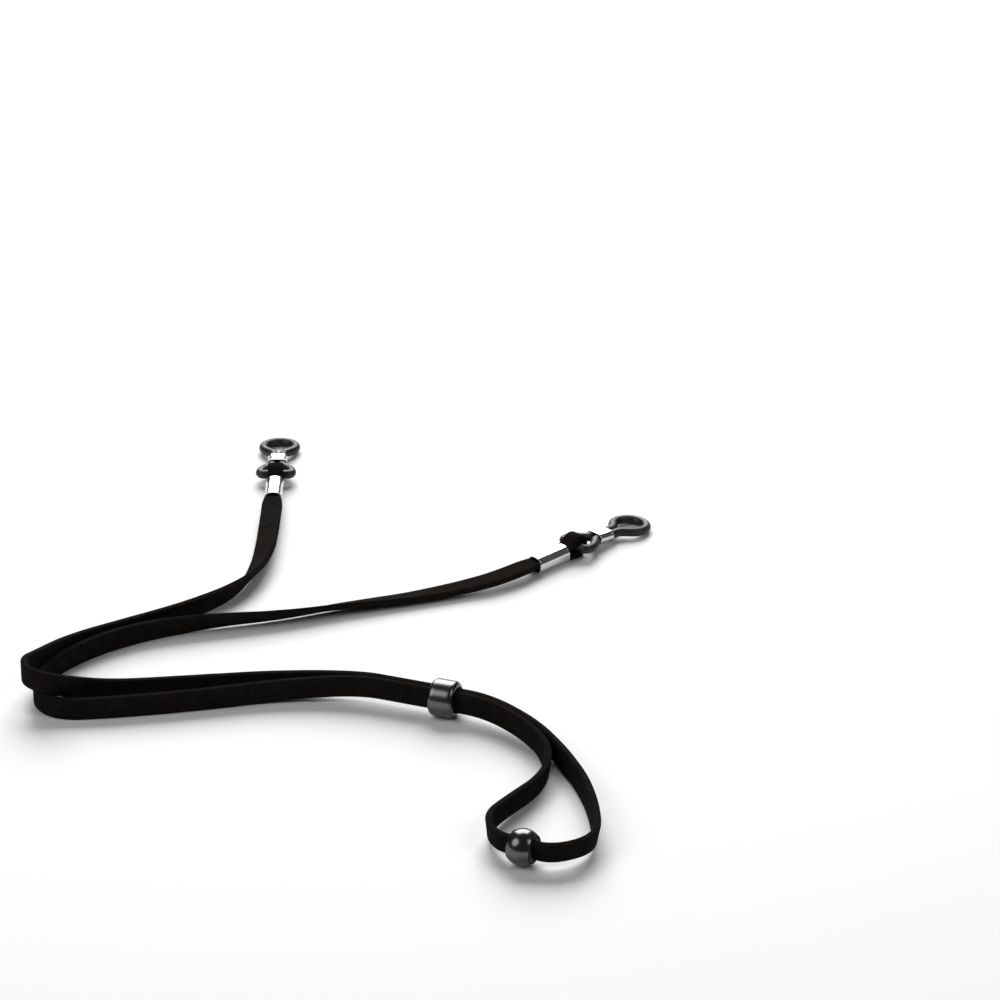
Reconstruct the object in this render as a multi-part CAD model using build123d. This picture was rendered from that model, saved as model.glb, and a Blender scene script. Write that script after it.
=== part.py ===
from build123d import *
import os
from math import atan2, degrees, radians, sqrt, tan

# Eyeglass retainer strap, laid out on a flat surface. Millimetres, +Z up, z = 0 is the surface.
# The origin is under the middle of the box round the four end fittings, on that surface.

# ---- strap: one flat band of faux suede ----
STRAP_W = 5.0                      # width
STRAP_T = 1.5                      # thickness
FLAT, ON_EDGE = 0.0, 90.0          # roll of the band about its own length, degrees
ARC_SHARE = 0.45                   # part of the shorter run that a corner's arc takes up
GUIDE_RISE = 10.0                  # height of the guide above the band's centre line

# ---- crimp ferrule that closes the fold at each strap end ----
FERRULE_L = 10.0
GATHERED_W = 3.8                   # width to which the ferrule gathers the folded strap
FERRULE_WALL = 0.35
FERRULE_GAP = 0.05                 # between the folded strap and the ferrule, each side
FERRULE_CORNER = 1.1
FERRULE_INNER_CORNER = 0.15
FERRULE_LIP = 0.12                 # rounding of the ferrule's end edges
FERRULE_W = GATHERED_W + 2 * (FERRULE_GAP + FERRULE_WALL)
FERRULE_H = 2 * (STRAP_T + FERRULE_GAP + FERRULE_WALL)
LAYER_Z = FERRULE_H / 2 + STRAP_T / 2          # centre of the upper strap layer in the ferrule
TAIL_SHORT = 1.0                   # the folded tail ends this far inside the ferrule's mouth
FOLD_MEET = 0.3                    # the strap's two layers meet this far past the ferrule
FOLD_SLIT = 0.02                   # width of the eye's point where they meet

# ---- rubber temple loop and its cinch sleeve ----
RUBBER_R = 1.1
EYE_GAP = 0.25                     # between the rubber and the folded strap round it
EYE_R_IN = RUBBER_R + EYE_GAP
EYE_R_OUT = EYE_R_IN + STRAP_T
EYE_X = FERRULE_L + 3.6            # from the ferrule's mouth to the middle of the eye
EYE_Z = EYE_R_OUT
REAR_HALF = 3.85                   # half width of the rubber's rear bend, on its centre line
REAR_R = 1.6
REAR_L = 3.3                       # straight sides, clear of the strap round the rubber
NECK_R = 2.0
NECK_X = 5.9                       # where the two strands come together
STRAND_HALF = RUBBER_R + 0.02      # half the distance between the two strands' centre lines
NECK_END = 14.0                    # where the strands part again
FLARE_R = 2.5
RING_R = 4.1                       # centre line of the ring that grips a temple arm
LOOP_TILT = 4.2                    # the loop slopes from the eye down to the surface, degrees
CINCH_L = 4.5
CINCH_X = 6.95
CINCH_WALL = 0.3
CINCH_GAP = 0.05
CINCH_LIP = 0.1

# ---- sliding barrel on both strands ----
SLIDER_AT = (0.0, -108.5)
SLIDER_HEADING = -21.0             # degrees from +X
SLIDER_R = 4.25
SLIDER_L = 6.0
SLIDER_EDGE = 1.3
STRAND_PITCH = 1.6                 # centre distance of the two strands inside the barrel
LINER_R = 3.3
LINER_L = 5.6
SLOT_GAP = 0.08                    # between the strap and a liner's slot
GLUE_LINE = 0.05                   # between a liner and the bore it is glued into

# ---- round bead on the closed end of the loop ----
BEAD_AT = (17.0, -174.15)
BEAD_HEADING = -26.0
BEAD_R = 4.0
BEAD_BORE_R = 3.0
BEAD_LINER_L = 5.0
BEAD_LIP = 0.15

# ---- where the end fittings lie: the mouth of each ferrule and the way it points ----
LEFT_MOUTH, LEFT_HEADING = (-43.8, 0.25), 90.0
RIGHT_MOUTH, RIGHT_HEADING = (20.4, -36.45), 45.0

# Route of the strap's centre line, from the left ferrule's mouth to the right ferrule's.
# It runs out to the left bend, back through the barrel, round the loop and its bead, and
# through the barrel again. The first strand crosses over the second at the left bend.
ROUTE = [
    (-43.80, 0.25, LAYER_Z),
    (-43.80, -17.75, LAYER_Z),
    (-44.6, -35.8, 2.6),
    (-48.8, -49.8, 2.6),
    (-60.3, -61.8, 2.6),
    (-74.8, -71.8, 2.9),
    (-86.3, -81.6, 5.2),
    (-93.8, -91.4, 8.4),
    (-96.2, -100.0, 8.9),
    (-93.3, -106.4, 8.6),
    (-86.3, -108.4, 6.8),
    (-75.3, -103.2, 3.6),
    (-57.8, -99.5, 2.6),
    (-37.8, -97.5, 2.9),
    (-19.32, -100.23, SLIDER_R),
    (10.09, -111.52, SLIDER_R),
    (20.8, -122.2, 3.5),
    (27.4, -134.6, 2.8),
    (32.0, -147.8, 2.6),
    (34.0, -162.8, 3.0),
    (32.5, -173.4, 3.8),
    (25.09, -178.10, BEAD_R),
    (8.91, -170.20, BEAD_R),
    (8.3, -161.3, 3.7),
    (12.7, -155.0, 3.0),
    (21.0, -144.4, 2.6),
    (23.5, -133.3, 2.8),
    (19.6, -123.3, 3.5),
    (9.52, -113.01, SLIDER_R),
    (-19.89, -101.72, SLIDER_R),
    (-37.8, -101.9, 2.9),
    (-55.8, -106.3, 2.6),
    (-73.8, -109.9, 2.6),
    (-87.8, -111.1, 2.55),
    (-94.3, -102.3, 2.55),
    (-90.8, -90.8, 2.55),
    (-80.8, -79.6, 2.6),
    (-68.8, -71.5, 2.6),
    (-53.8, -66.4, LAYER_Z),
    (-23.8, -57.0, LAYER_Z),
    (-8.8, -52.3, 1.3),
    (4.2, -47.9, 1.4),
    (13.40, -43.45, LAYER_Z),
    (20.40, -36.45, LAYER_Z),
]
RIGHT_TWIST_RUN = 38               # index of the run on which the band lies down again


def place(shape, at, heading, z=0.0):
    """The shape moved to a point on the surface and turned about Z."""
    return Pos(at[0], at[1], z) * Rot(0, 0, heading) * shape


def corner_radii(points):
    """One radius for each corner: as large as the two runs beside it allow."""
    radii = []
    for a, b, c in zip(points, points[1:], points[2:]):
        before, after = Vector(b) - Vector(a), Vector(c) - Vector(b)
        shorter = min(before.length, after.length)
        radii.append(ARC_SHARE * shorter / tan(radians(before.get_angle(after)) / 2))
    return radii


def swept_band(edges, size_across, size_up):
    """A rectangle swept along edges; a copy of the path above it keeps its upright side upright."""
    path = Wire(edges)
    start, way = path @ 0, path % 0
    across = way.cross(Vector(0, 0, 1))
    section = Plane(origin=start, x_dir=across, z_dir=way) * Rectangle(size_across, size_up)
    return sweep(section, path=path, binormal=Pos(0, 0, GUIDE_RISE) * path).solid()


def twisted_band(edge, roll_from, roll_to):
    """The band along one level straight edge, rolling evenly from one angle to the other."""
    start, way = edge @ 0, edge % 0
    frame = Plane(origin=start, x_dir=way.cross(Vector(0, 0, 1)), z_dir=way)
    section = frame * Rot(0, 0, roll_from) * Rectangle(STRAP_W, STRAP_T)
    return Solid.extrude_linear_with_rotation(
        section.face(), center=start, normal=way * edge.length, angle=roll_to - roll_from
    )


def strap_run():
    """The strap from ferrule to ferrule: flat at its ends, on edge between two quarter twists."""
    radii = corner_radii(ROUTE)
    print("corner radii", [round(r, 1) for r in radii])
    edges = FilletPolyline(*ROUTE, radius=radii).order_edges()
    last = 2 * RIGHT_TWIST_RUN
    pieces = [
        twisted_band(edges[0], FLAT, ON_EDGE),
        swept_band(edges[1:last], STRAP_T, STRAP_W),
        twisted_band(edges[last], ON_EDGE, 2 * ON_EDGE),
        swept_band(edges[last + 1:], STRAP_W, STRAP_T),
    ]
    length = sum(e.length for e in edges)
    volume = sum(p.volume for p in pieces)
    print("strap length", round(length, 1), "volume", round(volume, 1),
          "section x length", round(STRAP_W * STRAP_T * length, 1))
    strap = pieces[0]
    for piece in pieces[1:]:
        strap = strap + piece
    return strap.solid()


def strap_fold():
    """The strap's end, gathered narrower, folded round the rubber and doubled back."""
    low, mid, high = (FERRULE_H / 2 + k * STRAP_T for k in (-1, 0, 1))
    eye, meet = Pos(EYE_X, EYE_Z), FERRULE_L + FOLD_MEET
    outer = make_hull(
        [*(eye * Circle(EYE_R_OUT)).edges(), Edge.make_line((FERRULE_L, low), (FERRULE_L, high))]
    )
    inner = make_hull(
        [*(eye * Circle(EYE_R_IN)).edges(),
         Edge.make_line((meet, mid - FOLD_SLIT / 2), (meet, mid + FOLD_SLIT / 2))]
    )
    upper = Pos(FERRULE_L / 2, mid + STRAP_T / 2) * Rectangle(FERRULE_L, STRAP_T)
    tail_l = FERRULE_L - TAIL_SHORT
    tail = Pos(FERRULE_L - tail_l / 2, mid - STRAP_T / 2) * Rectangle(tail_l, STRAP_T)
    profile = outer - inner + upper + tail
    return extrude(Plane.XZ * profile, GATHERED_W / 2, both=True).solid()


def ferrule():
    """Flat oval crimp tube."""
    outer = RectangleRounded(FERRULE_W, FERRULE_H, FERRULE_CORNER)
    inner = RectangleRounded(
        FERRULE_W - 2 * FERRULE_WALL, FERRULE_H - 2 * FERRULE_WALL, FERRULE_INNER_CORNER
    )
    frame = Plane(origin=(0, 0, FERRULE_H / 2), x_dir=(0, 1, 0), z_dir=(1, 0, 0))
    shell = extrude(frame * outer, FERRULE_L)
    ends = shell.faces().sort_by(Axis.X)
    shell = fillet([*ends[0].edges(), *ends[-1].edges()], FERRULE_LIP)
    return (shell - extrude(frame * inner, FERRULE_L)).solid()


def loop_path():
    """Closed centre line of the rubber loop, flat, with the middle of the eye at its origin."""
    fillet_corners = [
        (NECK_END, STRAND_HALF), (NECK_X, STRAND_HALF), (REAR_L, REAR_HALF), (0, REAR_HALF),
        (0, -REAR_HALF), (REAR_L, -REAR_HALF), (NECK_X, -STRAND_HALF), (NECK_END, -STRAND_HALF),
    ]
    rear = FilletPolyline(*fillet_corners, radius=[NECK_R, NECK_R, REAR_R, REAR_R, NECK_R, NECK_R])
    flare_y = STRAND_HALF + FLARE_R
    ring_x = ring_centre()
    flare_end = degrees(atan2(flare_y, ring_x - NECK_END))
    sweep_angle = 90 - flare_end
    upper = CenterArc((NECK_END, flare_y), FLARE_R, -90, sweep_angle)
    lower = CenterArc((NECK_END, -flare_y), FLARE_R, 90, -sweep_angle)
    ring = CenterArc((ring_x, 0), RING_R, 180 - flare_end, -2 * (180 - flare_end))
    return Wire([*rear.edges(), *upper.edges(), *ring.edges(), *lower.edges()])


def ring_centre():
    """Distance from the eye to the middle of the temple ring."""
    return NECK_END + sqrt((RING_R + FLARE_R) ** 2 - (STRAND_HALF + FLARE_R) ** 2)


def on_loop(shape):
    """A shape from the loop's own flat frame, put at the eye and tilted down to the surface."""
    return Pos(EYE_X, 0, EYE_Z) * Rot(0, LOOP_TILT, 0) * shape


def temple_loop():
    """Closed ring of round rubber cord, pinched into a rear bend and a temple ring."""
    path = loop_path()
    section = Plane(origin=path @ 0, z_dir=path % 0) * Circle(RUBBER_R)
    return on_loop(sweep(section, path=path)).solid()


def cinch():
    """Oval sleeve round the two rubber strands."""
    frame = Plane(origin=(CINCH_X, 0, 0), x_dir=(0, 1, 0), z_dir=(1, 0, 0))
    inner_r = RUBBER_R + CINCH_GAP
    outer = SlotCenterToCenter(2 * STRAND_HALF, 2 * (inner_r + CINCH_WALL))
    shell = extrude(frame * outer, CINCH_L)
    ends = shell.faces().sort_by(Axis.X)
    shell = fillet([*ends[0].edges(), *ends[-1].edges()], CINCH_LIP)
    bore = extrude(frame * SlotCenterToCenter(2 * STRAND_HALF, 2 * inner_r), CINCH_L)
    return on_loop(shell - bore).solid()


def slider_shell():
    """Metal barrel with rounded edges."""
    shell = Rot(0, 90, 0) * Cylinder(SLIDER_R, SLIDER_L)
    ends = shell.faces().sort_by(Axis.X)
    shell = fillet([*ends[0].edges(), *ends[-1].edges()], SLIDER_EDGE / 2)
    return (shell - Rot(0, 90, 0) * Cylinder(LINER_R, SLIDER_L)).solid()


def grip_liner(bore_radius, length, strands):
    """Silicone plug glued into a bore, with a slot that grips the strap."""
    thick = STRAP_T + (strands - 1) * STRAND_PITCH + 2 * SLOT_GAP
    slot = Box(2 * length, thick, STRAP_W + 2 * SLOT_GAP)
    return (Rot(0, 90, 0) * Cylinder(bore_radius - GLUE_LINE, length) - slot).solid()


def bead_shell():
    """Metal ball with a wide bore."""
    half = Circle(BEAD_R) - Pos(0, BEAD_BORE_R - BEAD_R) * Rectangle(2 * BEAD_R, 2 * BEAD_R)
    return revolve(fillet(half.vertices(), BEAD_LIP), axis=Axis.X).solid()


def write(shape, node):
    export_step(shape, f"parts/{node}.step")


os.makedirs("parts", exist_ok=True)
write(strap_run(), "strap_run")
for side, mouth, heading in (
    ("left", LEFT_MOUTH, LEFT_HEADING),
    ("right", RIGHT_MOUTH, RIGHT_HEADING),
):
    write(place(strap_fold(), mouth, heading), f"{side}_strap_fold")
    write(place(ferrule(), mouth, heading), f"{side}_ferrule")
    write(place(temple_loop(), mouth, heading), f"{side}_temple_loop")
    write(place(cinch(), mouth, heading), f"{side}_cinch")
write(place(slider_shell(), SLIDER_AT, SLIDER_HEADING, SLIDER_R), "slider_shell")
write(place(grip_liner(LINER_R, LINER_L, 2), SLIDER_AT, SLIDER_HEADING, SLIDER_R), "slider_liner")
write(place(bead_shell(), BEAD_AT, BEAD_HEADING, BEAD_R), "bead_shell")
write(place(grip_liner(BEAD_BORE_R, BEAD_LINER_L, 1), BEAD_AT, BEAD_HEADING, BEAD_R), "bead_liner")
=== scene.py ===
from math import asin, atan2, cos, pi, radians, sin

import bpy
from mathutils import Matrix, Vector, noise


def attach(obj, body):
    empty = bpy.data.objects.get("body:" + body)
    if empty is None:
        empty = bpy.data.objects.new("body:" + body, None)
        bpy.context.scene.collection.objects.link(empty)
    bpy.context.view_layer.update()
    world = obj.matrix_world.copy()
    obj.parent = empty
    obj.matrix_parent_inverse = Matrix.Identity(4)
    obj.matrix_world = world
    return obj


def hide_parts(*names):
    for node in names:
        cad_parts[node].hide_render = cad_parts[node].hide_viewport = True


# The looks of an eyeglass retainer strap, in metres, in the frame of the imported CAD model.
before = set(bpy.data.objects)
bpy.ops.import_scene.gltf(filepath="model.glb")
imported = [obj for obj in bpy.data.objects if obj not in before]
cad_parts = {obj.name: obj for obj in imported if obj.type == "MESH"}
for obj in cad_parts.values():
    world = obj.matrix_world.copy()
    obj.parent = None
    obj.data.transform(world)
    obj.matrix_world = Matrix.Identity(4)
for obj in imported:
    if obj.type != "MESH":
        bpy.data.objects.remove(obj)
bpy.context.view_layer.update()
MM = 0.001

# ---- camera ----
CAMERA_TARGET = Vector((0.0122, 0.00475, 0.0))
CAMERA_DISTANCE = 1.0
CAMERA_ELEVATION = 25.0            # degrees above the surface
CAMERA_SENSOR, CAMERA_LENS = 36.0, 145.2       # millimetres

# ---- the flat strap ----
STRAP_W, STRAP_T = 5.0 * MM, 1.5 * MM
STRAP_EDGE = 0.34 * MM             # rounding of its cut edges
STRAP_SEAT = 0.04 * MM             # the least gap between the strap and the surface
GATHERED_W, GATHER_RUN = 3.8 * MM, 5.0 * MM    # it narrows to this width over this length
FOLD_TRIM = 0.985                  # the share of that width which its folded end has
WIDTH_WANDER, WIDTH_BEAT = 0.012, 120          # how much and how often its width varies
THICK_WANDER, THICK_BEAT = 0.04, 160           # the same for its thickness
ROUTE_STEPS, FOLD_STEPS, LOOP_STEPS = 22, 14, 10   # points on each stretch of a line

# Route of the strap's centre line (metres) and its roll (degrees): 0 and 180 lie flat, and 90
# either way stands on edge.
ROUTE = [
    (-0.04380, 0.00025, 0.00265, 0),
    (-0.04380, -0.01775, 0.00265, -5),
    (-0.04460, -0.03580, 0.00260, -30),
    (-0.04880, -0.04980, 0.00260, -62),
    (-0.06030, -0.06180, 0.00260, -84),
    (-0.07480, -0.07160, 0.00270, -90),
    (-0.08640, -0.08260, 0.00420, -90),
    (-0.09230, -0.09420, 0.00620, -90),
    (-0.09440, -0.10140, 0.00830, -90),
    (-0.09270, -0.10700, 0.00850, -90),
    (-0.08630, -0.10790, 0.00710, -90),
    (-0.07530, -0.10280, 0.00320, -90),
    (-0.05780, -0.09950, 0.00260, -90),
    (-0.03780, -0.09750, 0.00290, -90),
    (-0.01932, -0.10023, 0.00425, -90),
    (-0.00905, -0.10417, 0.00425, -90),
    (0.00029, -0.10775, 0.00425, -90),
    (0.01020, -0.11175, 0.00425, -90),
    (0.02035, -0.12230, 0.00350, -88),
    (0.02650, -0.13460, 0.00275, -80),
    (0.03080, -0.14780, 0.00270, -81),
    (0.03270, -0.16300, 0.00300, -84),
    (0.03150, -0.17260, 0.00380, -74),
    (0.02320, -0.17725, 0.00400, -70),
    (0.01700, -0.17415, 0.00400, -72),
    (0.01120, -0.17130, 0.00400, -75),
    (0.00940, -0.16330, 0.00370, -88),
    (0.01350, -0.15530, 0.00300, -94),
    (0.02100, -0.14460, 0.00260, -98),
    (0.02310, -0.13330, 0.00280, -98),
    (0.01915, -0.12350, 0.00350, -96),
    (0.00952, -0.11305, 0.00425, -92),
    (-0.00029, -0.10925, 0.00425, -90),
    (-0.00962, -0.10566, 0.00425, -90),
    (-0.01989, -0.10172, 0.00425, -90),
    (-0.03780, -0.10190, 0.00290, -90),
    (-0.05580, -0.10630, 0.00260, -90),
    (-0.07380, -0.10960, 0.00260, -90),
    (-0.08690, -0.11090, 0.00260, -90),
    (-0.09250, -0.10270, 0.00260, -90),
    (-0.08990, -0.09120, 0.00260, -90),
    (-0.08080, -0.07960, 0.00260, -90),
    (-0.06880, -0.07150, 0.00260, -95),
    (-0.05380, -0.06680, 0.00265, -128),
    (-0.03880, -0.06330, 0.00215, -143),
    (-0.02380, -0.05730, 0.00175, -157),
    (-0.00880, -0.05250, 0.00130, -170),
    (0.00420, -0.04760, 0.00175, -180),
    (0.01340, -0.04345, 0.00265, -182),
    (0.02040, -0.03645, 0.00265, -180),
]

# ---- end fittings: in millimetres, but the mouth of each ferrule is in metres ----
# The mouth, and the way that the fitting points from it in degrees from +X.
FITTINGS = {
    "left": (Vector((-0.0438, 0.00025, 0)), 90.0),
    "right": (Vector((0.0204, -0.03645, 0)), 45.0),
}
# Side view of the strap's folded end: distance from the mouth and height of its centre line.
FOLD = [
    (0.0, 2.65), (5.0, 2.65), (9.7, 2.65), (11.3, 3.75), (12.9, 5.05), (15.05, 4.85),
    (15.95, 2.85), (15.05, 0.88), (12.9, 0.72), (11.2, 0.95), (9.7, 1.15), (5.0, 1.15), (1.0, 1.15),
]
FERRULE_L, FERRULE_W, FERRULE_H = 10.0, 4.6, 3.8
FERRULE_WALL, FERRULE_CROWN = 0.35, 0.42
FERRULE_CORNER, FERRULE_INNER_CORNER = 1.5, 0.15
SEAM_DEPTH, SEAM_HALF = 0.10, 0.05
EYE_X, EYE_Z = 13.6, 2.85
LOOP_TILT = 4.2                    # degrees
RUBBER_R, RUBBER_SIDES, PARTING_LINE = 1.1, 28, 0.04
RING_X, RING_R = 19.52, 4.1
STRAND_HALF = 1.12                 # from the middle to either strand of the neck
CINCH_X, CINCH_L, CINCH_GAP, CINCH_SIDES = 6.95, 4.5, 0.05, 48

# ---- barrel and bead: in millimetres, but their places are in metres ----
BARREL_AT, BARREL_HEADING = Vector((0.0, -0.1085, 0.00425)), -21.0
BARREL_R, BARREL_L, BARREL_BORE, BARREL_GRIP_L = 4.25, 6.0, 3.3, 5.6
BARREL_SHOULDER = 1.15
BEAD_AT, BEAD_HEADING = Vector((0.0170, -0.17415, 0.0040)), -26.0
BEAD_R, BEAD_BORE, BEAD_GRIP_L = 4.0, 3.0, 5.0
BEAD_LEAN = 18.0                   # the strap's lean where it runs through the bead, degrees
GLUE_LINE = 0.05                   # between a grip and the bore that it is glued into
STRAND_PITCH, SLOT_GAP, SLOT_FLARE, SLOT_CORNER = 1.6, 0.08, 0.27, 0.25

# ---- studio, in metres ----
FLOOR_HALF = 4.0
LIGHTS_AIM, LIGHTS_DISTANCE = Vector((-0.02, -0.08, 0)), 1.6


# ------------------------------------------------------------------ geometry helpers
def spline_points(values, steps, closed=False):
    """Points of the smooth NURBS line whose control points are these values."""
    curve = bpy.data.curves.new("line", "CURVE")
    curve.dimensions = "3D"
    curve.resolution_u = steps
    spline = curve.splines.new("NURBS")
    spline.points.add(len(values) - 1)
    for point, value in zip(spline.points, values):
        point.co = (*value, 1.0)
    spline.order_u = 3
    spline.use_endpoint_u = not closed
    spline.use_cyclic_u = closed
    holder = bpy.data.objects.new("line", curve)
    mesh = bpy.data.meshes.new_from_object(holder)
    points = [v.co.copy() for v in mesh.vertices]
    bpy.data.objects.remove(holder)
    bpy.data.curves.remove(curve)
    bpy.data.meshes.remove(mesh)
    return points


def loft(name, rings, closed):
    """A mesh object through rings of equal length: a closed tube of rings, or one with end caps."""
    count = len(rings[0])
    faces = []
    for i in range(len(rings) if closed else len(rings) - 1):
        a, b = i * count, (i + 1) % len(rings) * count
        for k in range(count):
            n = (k + 1) % count
            faces.append((a + k, a + n, b + n, b + k))
    if not closed:
        last = (len(rings) - 1) * count
        faces.append(tuple(reversed(range(count))))
        faces.append(tuple(range(last, last + count)))
    mesh = bpy.data.meshes.new(name)
    mesh.from_pydata([tuple(p) for ring in rings for p in ring], [], faces)
    mesh.update()
    mesh.shade_smooth()
    piece = bpy.data.objects.new(name, mesh)
    bpy.context.scene.collection.objects.link(piece)
    return piece


def rounded_outline(half_a, half_b, radius, per_corner, per_side):
    """Rounded rectangle as (a, b) points: an arc at each corner and extra points along each side."""
    centres = [(1, 1, 0), (-1, 1, 90), (-1, -1, 180), (1, -1, 270)]
    arcs = []
    for sa, sb, start in centres:
        ca, cb = sa * (half_a - radius), sb * (half_b - radius)
        angles = [radians(start + 90 * k / per_corner) for k in range(per_corner + 1)]
        arcs.append([(ca + radius * cos(t), cb + radius * sin(t)) for t in angles])
    points = []
    for arc, following in zip(arcs, arcs[1:] + arcs[:1]):
        points += arc
        (a0, b0), (a1, b1) = arc[-1], following[0]
        for k in range(1, per_side + 1):
            t = k / (per_side + 1)
            points.append((a0 + (a1 - a0) * t, b0 + (b1 - b0) * t))
    return points


def stadium(half_gap, radius, count):
    """Outline round two circles side by side."""
    points = []
    for k in range(count):
        t = 2 * pi * (k + 0.5) / count
        points.append((half_gap * (1 if cos(t) > 0 else -1) + radius * cos(t), radius * sin(t)))
    return points


def fitting_frame(side):
    """From a fitting's own frame (millimetres, x outward from the mouth) to the shared frame."""
    mouth, heading = FITTINGS[side]
    return Matrix.Translation(mouth) @ Matrix.Rotation(radians(heading), 4, "Z") @ Matrix.Scale(MM, 4)


def loop_frame(side):
    """The same for the rubber loop: its own flat frame at the eye, tilted down to the surface."""
    eye = Matrix.Translation((EYE_X, 0, EYE_Z)) @ Matrix.Rotation(radians(LOOP_TILT), 4, "Y")
    return fitting_frame(side) @ eye


def bead_frame(at, heading):
    """From the barrel's or the ball's own frame (millimetres, x along its bore) to the shared one."""
    return Matrix.Translation(at) @ Matrix.Rotation(radians(heading), 4, "Z") @ Matrix.Scale(MM, 4)


def finish_piece(piece, matrix, body, material, slot, *nodes):
    """Puts a piece in the shared frame, on its body, with its material, in place of its CAD nodes."""
    piece.data.transform(matrix)
    piece.data.materials.append(material)
    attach(piece, body)
    if nodes:
        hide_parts(*nodes)
    return piece


# ------------------------------------------------------------------ materials
class Shader:
    """A Principled material with short calls for the nodes that vary over its surface."""

    def __init__(self, name, **sockets):
        self.material = bpy.data.materials.new(name)
        self.material.use_nodes = True
        self.nodes, self.links = self.material.node_tree.nodes, self.material.node_tree.links
        self.base = self.nodes["Principled BSDF"]
        for socket, value in sockets.items():
            self.base.inputs[socket.replace("_", " ")].default_value = value
        self.place = self.nodes.new("ShaderNodeTexCoord").outputs["Object"]

    def noise(self, scale, detail=2.0, roughness=0.5, stretch=(1, 1, 1)):
        mapping = self.nodes.new("ShaderNodeMapping")
        mapping.inputs["Scale"].default_value = stretch
        texture = self.nodes.new("ShaderNodeTexNoise")
        texture.inputs["Scale"].default_value = scale
        texture.inputs["Detail"].default_value = detail
        texture.inputs["Roughness"].default_value = roughness
        self.links.new(self.place, mapping.inputs["Vector"])
        self.links.new(mapping.outputs["Vector"], texture.inputs["Vector"])
        return texture.outputs["Fac"]

    def ramp(self, fac, low, high, start=0.3, end=0.7):
        node = self.nodes.new("ShaderNodeValToRGB")
        node.color_ramp.elements[0].position, node.color_ramp.elements[0].color = start, low
        node.color_ramp.elements[1].position, node.color_ramp.elements[1].color = end, high
        self.links.new(fac, node.inputs["Fac"])
        return node.outputs["Color"]

    def span(self, fac, low, high):
        node = self.nodes.new("ShaderNodeMapRange")
        node.inputs["From Min"].default_value, node.inputs["From Max"].default_value = 0.3, 0.7
        node.inputs["To Min"].default_value, node.inputs["To Max"].default_value = low, high
        self.links.new(fac, node.inputs["Value"])
        return node.outputs["Result"]

    def mix(self, fac, a, b):
        node = self.nodes.new("ShaderNodeMix")
        node.data_type = "RGBA"
        self.links.new(fac, node.inputs["Factor"])
        self.links.new(a, node.inputs[6])
        self.links.new(b, node.inputs[7])
        return node.outputs[2]

    def bump(self, height, strength, distance, under=None):
        node = self.nodes.new("ShaderNodeBump")
        node.inputs["Strength"].default_value = strength
        node.inputs["Distance"].default_value = distance
        self.links.new(height, node.inputs["Height"])
        if under is not None:
            self.links.new(under, node.inputs["Normal"])
        return node.outputs["Normal"]

    def feed(self, socket, output):
        self.links.new(output, self.base.inputs[socket])


def suede():
    """Near-black faux suede: short nap in patches that lie different ways, and fine fibres."""
    shader = Shader("suede", Roughness=0.95, Sheen_Weight=0.005, Sheen_Roughness=0.5,
                    Sheen_Tint=(0.60, 0.55, 0.52, 1), Specular_IOR_Level=0.015)
    patches = shader.noise(420, 3, 0.6)
    fibres = shader.noise(4200, 3, 0.7)
    dark = shader.ramp(patches, (0.0060, 0.0050, 0.0043, 1), (0.0105, 0.0087, 0.0075, 1))
    light = shader.ramp(patches, (0.0122, 0.0101, 0.0088, 1), (0.0198, 0.0164, 0.0142, 1))
    shader.feed("Base Color", shader.mix(shader.span(fibres, 0.0, 1.0), dark, light))
    soft = shader.bump(patches, 0.25, 0.0002)
    shader.feed("Normal", shader.bump(fibres, 0.6, 0.00012, soft))
    return shader.material


def rubber(name, roughness, colour):
    """Moulded rubber: satin, with faint mottling and a very fine grain."""
    shader = Shader(name, Specular_IOR_Level=0.45)
    cloud, grain = shader.noise(260, 3, 0.5), shader.noise(5200, 2, 0.6)
    dim = tuple(0.7 * c for c in colour)
    shader.feed("Base Color", shader.ramp(cloud, (*dim, 1), (*colour, 1)))
    shader.feed("Roughness", shader.span(cloud, roughness - 0.07, roughness + 0.08))
    shader.feed("Normal", shader.bump(grain, 0.12, 0.00005))
    return shader.material


def plated(name, colour, roughness, streaks):
    """Plated metal: fine polishing lines, and cloudy wear in its gloss."""
    shader = Shader(name, Metallic=1.0)
    cloud = shader.noise(330, 3, 0.55)
    lines = shader.noise(1500, 3, 0.6, stretch=streaks)
    dim = tuple(0.93 * c for c in colour)
    shader.feed("Base Color", shader.ramp(cloud, (*dim, 1), (*colour, 1)))
    shader.feed("Roughness", shader.span(lines, roughness * 0.94, roughness * 1.1))
    shader.feed("Normal", shader.bump(lines, 0.012, 0.00003))
    return shader.material


# ------------------------------------------------------------------ strap
def gathered(to_end):
    """Half the strap's width at a distance from its nearer end: it narrows into the ferrule."""
    t = min(to_end / GATHER_RUN, 1)
    return (GATHERED_W + (STRAP_W - GATHERED_W) * sin(t * pi / 2)) / 2


def strap_ring(at, along, roll, distance, to_end):
    """Outline of the strap at one place: its width and thickness vary a little along its length."""
    side = along.cross(Vector((0, 0, 1))).normalized()
    up = side.cross(along)
    width = cos(roll) * side + sin(roll) * up
    through = along.cross(width)
    wander = WIDTH_WANDER * noise.noise(Vector((distance * WIDTH_BEAT, 0.3, 0)))
    wide = gathered(to_end) * (1 + wander)
    wander = THICK_WANDER * noise.noise(Vector((distance * THICK_BEAT, 7.1, 0)))
    thick = STRAP_T / 2 * (1 + wander)
    ring = []
    for a, b in rounded_outline(wide, thick, STRAP_EDGE, 3, 4):
        p = at + a * width + b * through
        ring.append(Vector((p.x, p.y, max(p.z, STRAP_SEAT))))
    return ring


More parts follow.
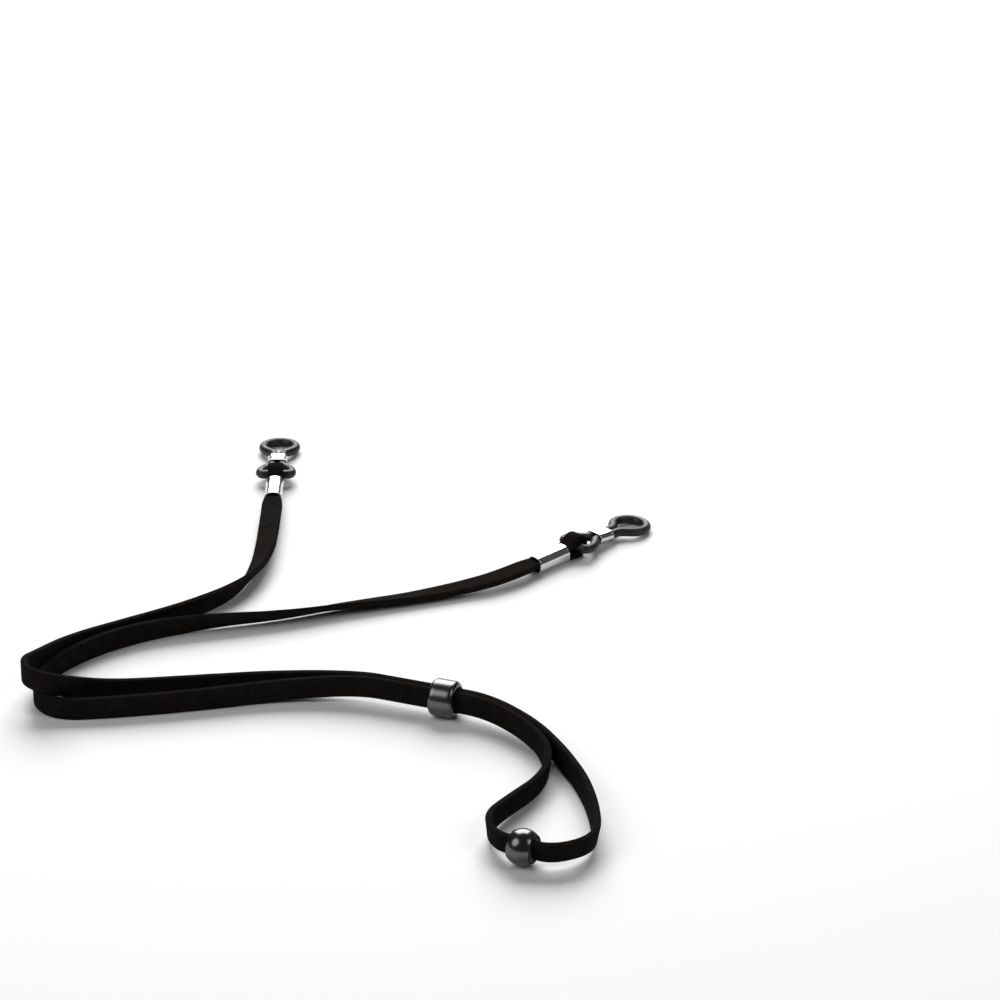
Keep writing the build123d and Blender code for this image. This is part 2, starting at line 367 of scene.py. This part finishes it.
def ribbon(name, line, rolls):
    """A strap-shaped mesh along a line, with a roll in radians at each of its points."""
    places = [0.0]
    for a, b in zip(line, line[1:]):
        places.append(places[-1] + (b - a).length)
    rings = []
    for i, (at, roll, distance) in enumerate(zip(line, rolls, places)):
        along = (line[min(i + 1, len(line) - 1)] - line[max(i - 1, 0)]).normalized()
        to_end = min(distance, places[-1] - distance)
        rings.append(strap_ring(at, along, roll, distance, to_end))
    return loft(name, rings, closed=False)


def make_strap(material):
    line = spline_points([p[:3] for p in ROUTE], ROUTE_STEPS)
    rolls = [radians(r.x) for r in spline_points([(p[3], 0, 0) for p in ROUTE], ROUTE_STEPS)]
    strap = ribbon("strap", line, rolls)
    finish_piece(strap, Matrix(), "strap", material, "suede", "strap_run")
    return strap, line


def make_strap_end(side, material):
    """The strap's folded end, from the ferrule's mouth round the rubber and back."""
    mouth, heading = FITTINGS[side]
    out = Vector((cos(radians(heading)), sin(radians(heading)), 0))
    points = [mouth + out * x * MM + Vector((0, 0, z * MM)) for x, z in FOLD]
    line = spline_points(points, FOLD_STEPS)
    across = out.cross(Vector((0, 0, 1)))
    rings = []
    for i, at in enumerate(line):
        along = (line[min(i + 1, len(line) - 1)] - line[max(i - 1, 0)]).normalized()
        through = along.cross(across)
        outline = rounded_outline(GATHERED_W / 2 * FOLD_TRIM, STRAP_T / 2, STRAP_EDGE, 3, 4)
        rings.append([at + a * across + b * through for a, b in outline])
    piece = loft(f"{side}_strap_end", rings, closed=False)
    return finish_piece(piece, Matrix(), "strap", material, "suede", f"{side}_strap_fold")


# ------------------------------------------------------------------ end fittings
def ferrule_ring(x, inset):
    """Outline of the crimped ferrule at x: its upper side is crowned, its seam lies underneath."""
    half_w, half_h = FERRULE_W / 2 - inset, FERRULE_H / 2 - inset
    radius = max(FERRULE_CORNER - inset, FERRULE_INNER_CORNER)
    ring = []
    for y, z in rounded_outline(half_w, half_h, radius, 8, 9):
        on_seam = z < 0 and abs(y) < SEAM_HALF and inset < FERRULE_WALL
        if z > 0:
            z *= 1 + FERRULE_CROWN / half_h * (1 - (y / half_w) ** 2)
        ring.append(Vector((x, y, FERRULE_H / 2 + z + (SEAM_DEPTH if on_seam else 0.0))))
    return ring


def make_ferrule(side, material):
    """Flat oval crimp tube with rolled lips, as (x, inset) stations along its outside and back."""
    lip = [(0.0, 0.22), (0.03, 0.11), (0.10, 0.03), (0.22, 0.0), (0.5, 0.0), (0.8, 0.05)]
    body = [1.2, 1.6, 2.1, 2.8, 4.0, 5.0, 6.0, 7.2, 7.9, 8.4, 8.8]
    stations = lip + [(x, 0.05) for x in body]
    stations += [(FERRULE_L - x, inset) for x, inset in reversed(lip)]
    stations += [(x, FERRULE_WALL) for x in (FERRULE_L - 0.1, FERRULE_L / 2, 0.1)]
    rings = [ferrule_ring(x, inset) for x, inset in stations]
    piece = loft(f"{side}_crimp", rings, closed=True)
    return finish_piece(
        piece, fitting_frame(side), "strap", material, "polished_silver", f"{side}_ferrule"
    )


def loop_line():
    """Closed centre line of the rubber loop in its own flat frame: rear bend, neck and ring."""
    rear_bend = [(-0.05, 1.5), (-0.05, 3.9), (2.3, 3.95), (4.4, 2.75)]
    neck = [(x, STRAND_HALF) for x in (6.0, 9.5, 13.1, 14.5)]
    corner = RING_R / cos(radians(15))     # corners 30 degrees apart, whose sides touch the ring
    around = [radians(a) for a in (150, 120, 90, 60, 30)]
    ring = [(RING_X + corner * cos(a), corner * sin(a)) for a in around]
    half = rear_bend + neck + ring
    tip = [(RING_X + corner, 0.0)]
    other = [(x, -y) for x, y in reversed(half)]
    return spline_points([(x, y, 0.0) for x, y in half + tip + other], LOOP_STEPS, closed=True)


def make_loop(side, material):
    """Ring of round rubber cord with the faint parting line that its mould leaves."""
    line = loop_line()
    rings = []
    for i, at in enumerate(line):
        along = (line[(i + 1) % len(line)] - line[i - 1]).normalized()
        across = along.cross(Vector((0, 0, 1)))
        ring = []
        for k in range(RUBBER_SIDES):
            t = 2 * pi * k / RUBBER_SIDES
            r = RUBBER_R + (PARTING_LINE if k in (0, RUBBER_SIDES // 2) else 0.0)
            ring.append(at + r * cos(t) * across + r * sin(t) * Vector((0, 0, 1)))
        rings.append(ring)
    piece = loft(f"{side}_rubber_loop", rings, closed=True)
    return finish_piece(
        piece, loop_frame(side), f"{side}_loop", material, "loop_rubber", f"{side}_temple_loop"
    )


def make_cinch(side, material):
    """Oval sleeve with rolled rims on the two rubber strands: (x, wall) stations, then its bore."""
    inner = RUBBER_R + CINCH_GAP
    rim = [(0.0, 0.12), (0.04, 0.24), (0.14, 0.30), (0.34, 0.30), (0.5, 0.24), (0.75, 0.22)]
    stations = rim + [(CINCH_L / 2, 0.22)] + [(CINCH_L - x, w) for x, w in reversed(rim)]
    rings = [
        [Vector((CINCH_X + x, y, z)) for y, z in stadium(STRAND_HALF, inner + wall, CINCH_SIDES)]
        for x, wall in stations
    ]
    bore = stadium(STRAND_HALF, inner, CINCH_SIDES)
    rings += [[Vector((CINCH_X + x, y, z)) for y, z in bore] for x in (CINCH_L - 0.06, 0.06)]
    piece = loft(f"{side}_cinch_sleeve", rings, closed=True)
    return finish_piece(
        piece, loop_frame(side), f"{side}_cinch", material, "polished_silver", f"{side}_cinch"
    )


# ------------------------------------------------------------------ barrel and bead
def turned(name, profile, count=72):
    """A closed profile of (x, radius) points turned about the X axis."""
    rings = []
    for x, r in profile:
        angles = [2 * pi * k / count for k in range(count)]
        rings.append([Vector((x, r * cos(t), r * sin(t))) for t in angles])
    return loft(name, rings, closed=True)


def mirrored(profile):
    """A profile's right half followed by its mirror image, from bore to bore."""
    return profile + [(-x, r) for x, r in reversed(profile)]


def make_barrel(material):
    """Metal barrel: rounded shoulders, and a bevelled rim round each end of the bore."""
    half, shoulder = BARREL_L / 2, BARREL_SHOULDER
    # from the middle of the bore out to its rim, over the shoulder and back along the outside
    right = [(0.2, BARREL_BORE), (half - 0.5, BARREL_BORE), (half - 0.28, BARREL_BORE - 0.04),
             (half - 0.10, BARREL_BORE - 0.02)]
    for k in range(9):
        t = radians(90 * k / 8)
        right.append((half - shoulder + shoulder * cos(t), BARREL_R - shoulder + shoulder * sin(t)))
    right += [(half - 1.8, BARREL_R), (0.6, BARREL_R)]
    piece = turned("barrel", mirrored(right))
    return finish_piece(
        piece, bead_frame(BARREL_AT, BARREL_HEADING), "slider", material, "gunmetal", "slider_shell"
    )


def make_ball(material):
    """Metal ball with a wide bore, its rims rounded over."""
    rim = asin(BEAD_BORE / BEAD_R)         # the angle from the bore's axis to where it breaks out
    end = BEAD_R * cos(rim)
    # from the middle of the bore out to its rim, then over the ball nearly to its equator
    right = [(0.2, BEAD_BORE), (end - 0.35, BEAD_BORE), (end - 0.12, BEAD_BORE + 0.03),
             (end - 0.03, BEAD_BORE + 0.10)]
    for k in range(1, 19):
        t = rim + (pi / 2 - rim) * k / 18 * 0.99
        right.append((BEAD_R * cos(t), BEAD_R * sin(t)))
    piece = turned("ball", mirrored(right), 96)
    return finish_piece(
        piece, bead_frame(BEAD_AT, BEAD_HEADING), "bead", material, "black_nickel", "bead_shell"
    )


def make_grip(name, at, heading, bore, length, strands, lean, body, node, material):
    """Silicone plug with a slot that leans as the strap does and opens out at both ends."""
    radius = bore - GLUE_LINE
    # half the slot's size across the strands, and half its size along the strap's width
    half_slot = (STRAP_T / MM + (strands - 1) * STRAND_PITCH) / 2 + SLOT_GAP
    half_wide = STRAP_W / MM / 2 + SLOT_GAP
    turn = Matrix.Rotation(radians(lean), 2)
    slot = rounded_outline(half_slot, half_wide, SLOT_CORNER, 3, 6)
    opened = 1 + SLOT_FLARE / half_slot
    # Each station is (share of the length, share of the way out from slot to rim, opening of the
    # slot): one end face from slot to rim, the other from rim to slot, and back through the slot.
    end = [(0.0, opened), (0.5, opened), (1.0, 1.0)]
    stations = [(-0.5, share, opening) for share, opening in end]
    stations += [(0.5, share, opening) for share, opening in reversed(end)]
    stations += [(0.1, 0.0, 1.0), (-0.1, 0.0, 1.0)]
    rings = []
    for x, share, opening in stations:
        ring = []
        for y, z in slot:
            y, z = turn @ Vector((y * opening, z))
            t = atan2(z, y)
            rim_y, rim_z = radius * cos(t), radius * sin(t)
            ring.append(Vector((x * length, y + (rim_y - y) * share, z + (rim_z - z) * share)))
        rings.append(ring)
    piece = loft(name, rings, closed=True)
    return finish_piece(piece, bead_frame(at, heading), body, material, "grip_silicone", node)


# ------------------------------------------------------------------ studio
def make_camera():
    tilt = radians(CAMERA_ELEVATION)
    data = bpy.data.cameras.new("camera")
    data.sensor_width, data.lens = CAMERA_SENSOR, CAMERA_LENS
    camera = bpy.data.objects.new("camera", data)
    camera.location = CAMERA_TARGET + CAMERA_DISTANCE * Vector((0, -cos(tilt), sin(tilt)))
    camera.rotation_euler = (pi / 2 - tilt, 0, 0)
    bpy.context.scene.collection.objects.link(camera)
    bpy.context.scene.camera = camera


def make_floor():
    mesh = bpy.data.meshes.new("floor")
    corners = [(x * FLOOR_HALF, y * FLOOR_HALF, 0) for x, y in ((-1, -1), (1, -1), (1, 1), (-1, 1))]
    mesh.from_pydata(corners, [], [(0, 1, 2, 3)])
    floor = bpy.data.objects.new("floor", mesh)
    bpy.context.scene.collection.objects.link(floor)
    shader = Shader("floor_white", Base_Color=(0.95, 0.95, 0.95, 1), Roughness=0.6)
    mesh.materials.append(shader.material)


def softbox(name, direction, size, radiance, shape="RECTANGLE"):
    """An area light aimed at the strap from a direction, as bright as stated."""
    width, height = size
    data = bpy.data.lights.new(name, "AREA")
    data.shape, data.size, data.size_y = shape, width, height
    data.energy = radiance * pi * width * height * (pi / 4 if shape == "ELLIPSE" else 1)
    lamp = bpy.data.objects.new(name, data)
    away = Vector(direction).normalized()
    lamp.location = LIGHTS_AIM + LIGHTS_DISTANCE * away
    lamp.rotation_euler = away.to_track_quat("Z", "Y").to_euler()
    bpy.context.scene.collection.objects.link(lamp)


def make_lights():
    softbox("back_softbox", (0.0, 0.80, 0.60), (1.25, 1.25), 6.8)
    softbox("left_softbox", (-0.70, -0.28, 0.66), (1.15, 1.15), 2.3, "ELLIPSE")
    softbox("right_softbox", (0.66, -0.36, 0.66), (0.80, 0.85), 2.0, "ELLIPSE")
    world = bpy.data.worlds.new("studio")
    world.use_nodes = True
    world.node_tree.nodes["Background"].inputs["Color"].default_value = (1, 1, 1, 1)
    world.node_tree.nodes["Background"].inputs["Strength"].default_value = 0.06
    bpy.context.scene.world = world
    bpy.context.scene.view_settings.view_transform = "Standard"


# ------------------------------------------------------------------ the whole model
make_camera()
suede_black = suede()
strap, strap_line = make_strap(suede_black)
loop_rubber = rubber("loop_rubber", 0.42, (0.016, 0.016, 0.017))
silicone = rubber("grip_silicone", 0.62, (0.022, 0.022, 0.023))
silver = plated("polished_silver", (0.74, 0.74, 0.75), 0.20, (0.15, 1, 1))
gunmetal = plated("gunmetal", (0.145, 0.143, 0.145), 0.24, (0.15, 1, 1))
black_nickel = plated("black_nickel", (0.130, 0.128, 0.130), 0.21, (1, 1, 1))
for side in FITTINGS:
    make_strap_end(side, suede_black)
    make_ferrule(side, silver)
    make_loop(side, loop_rubber)
    make_cinch(side, silver)
barrel = make_barrel(gunmetal)
ball = make_ball(black_nickel)
barrel_grip = make_grip("barrel_grip", BARREL_AT, BARREL_HEADING, BARREL_BORE, BARREL_GRIP_L, 2, 0.0,
                        "slider", "slider_liner", silicone)
ball_grip = make_grip("ball_grip", BEAD_AT, BEAD_HEADING, BEAD_BORE, BEAD_GRIP_L, 1, BEAD_LEAN,
                      "bead", "bead_liner", silicone)
make_floor()
make_lights()
